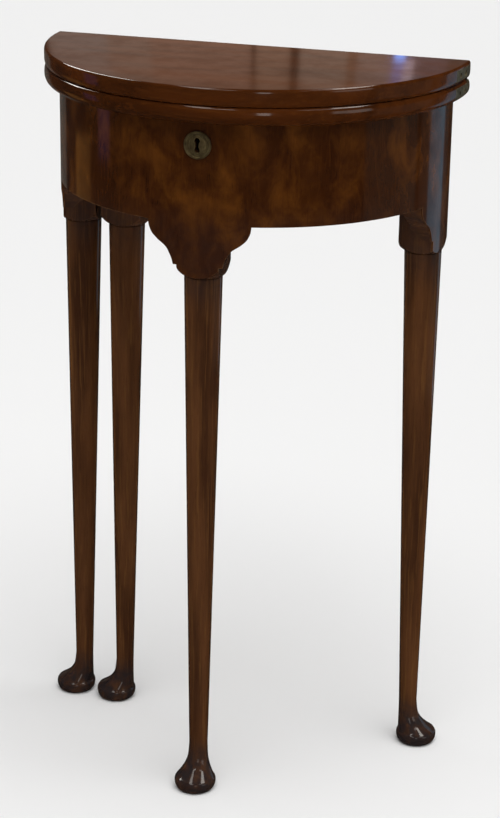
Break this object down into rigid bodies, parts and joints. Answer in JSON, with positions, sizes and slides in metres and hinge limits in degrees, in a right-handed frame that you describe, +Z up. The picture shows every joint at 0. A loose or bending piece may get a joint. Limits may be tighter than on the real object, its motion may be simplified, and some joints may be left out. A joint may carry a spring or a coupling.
{
  "type": "card table",
  "caption": "Half-round fold-over card table: hinged D-shaped leaves over a bent frieze with a locked well, on turned pad-foot legs, one of them swinging back to carry the open top",
  "frame": {"origin": "On the floor, below the middle of the closed table's plan", "axes": "+Z up, -Y to the curved front with the lock, +Y to the straight back, +X to the right seen from the front"},
  "size_m": [0.424, 0.2126, 0.72],
  "materials": {
    "mahogany": "french polished",
    "veneer": "figured veneer, french polished",
    "pine": "unpolished softwood",
    "brass": "old brass",
    "iron": "dark iron"
  },
  "bodies": {
    "frame": {"front_leg": "mahogany", "rear_leg_left": "mahogany", "rear_leg_right": "mahogany", "frieze_rail_left": "pine", "frieze_rail_right": "pine", "bracket_front_left": "mahogany", "bracket_front_right": "mahogany", "bracket_rear_left": "mahogany", "bracket_rear_right": "mahogany", "frieze_veneer": "veneer", "back_rail": "pine", "fixed_hinge_rail": "mahogany", "gate_pin": "iron", "well_floor": "pine", "glue_block_front_left": "pine", "glue_block_front_right": "pine", "glue_block_rear_left": "pine", "glue_block_rear_right": "pine", "lock_case": "brass", "lock_screw_left": "brass", "lock_screw_right": "brass", "escutcheon": "brass", "lid_hinge_frame_leaf_left": "brass", "lid_hinge_frame_leaf_right": "brass", "lid_hinge_pin_left": "brass", "lid_hinge_pin_right": "brass", "lid_hinge_frame_screw_1_left": "brass", "lid_hinge_frame_screw_1_right": "brass", "lid_hinge_frame_screw_2_left": "brass", "lid_hinge_frame_screw_2_right": "brass"},
    "lid": {"lower_leaf": "mahogany", "staple_plate": "brass", "staple_plate_screw_left": "brass", "staple_plate_screw_right": "brass", "lid_hinge_lid_leaf_left": "brass", "lid_hinge_lid_leaf_right": "brass", "lid_hinge_lid_screw_1_left": "brass", "lid_hinge_lid_screw_1_right": "brass", "lid_hinge_lid_screw_2_left": "brass", "lid_hinge_lid_screw_2_right": "brass", "leaf_hinge_lower_plate_left": "brass", "leaf_hinge_lower_plate_right": "brass", "leaf_hinge_lower_screw_1_left": "brass", "leaf_hinge_lower_screw_1_right": "brass", "leaf_hinge_lower_screw_2_left": "brass", "leaf_hinge_lower_screw_2_right": "brass"},
    "hinge_links": {"leaf_hinge_link_left": "brass", "leaf_hinge_link_right": "brass"},
    "upper_leaf": {"upper_leaf": "mahogany", "leaf_hinge_upper_plate_left": "brass", "leaf_hinge_upper_plate_right": "brass", "leaf_hinge_upper_screw_1_left": "brass", "leaf_hinge_upper_screw_1_right": "brass", "leaf_hinge_upper_screw_2_left": "brass", "leaf_hinge_upper_screw_2_right": "brass"},
    "gate": {"gate_leg": "mahogany", "fly_rail": "mahogany"},
    "lock_bolt": {"lock_bolt": "iron"}
  },
  "joints": [
    {"name": "lid_lift", "type": "hinge", "parent": "frame", "child": "lid", "pos_m": [0, 0.10395, 0.6834], "axis": [1, 0, 0], "range_deg": [-95, 0]},
    {"name": "leaf_link", "type": "hinge", "parent": "lid", "child": "hinge_links", "pos_m": [0, 0.1014, 0.70005], "axis": [-1, 0, 0], "range_deg": [0, 90]},
    {"name": "leaf_fold", "type": "hinge", "parent": "hinge_links", "child": "upper_leaf", "pos_m": [0, 0.1014, 0.70605], "axis": [-1, 0, 0], "range_deg": [0, 90]},
    {"name": "gate_swing", "type": "hinge", "parent": "frame", "child": "gate", "pos_m": [0.045, 0.08825, 0.6376], "axis": [0, 0, -1], "range_deg": [0, 90]},
    {"name": "bolt_slide", "type": "slide", "parent": "frame", "child": "lock_bolt", "axis": [1, 0, 0], "range_m": [0, 0.006]}
  ]
}
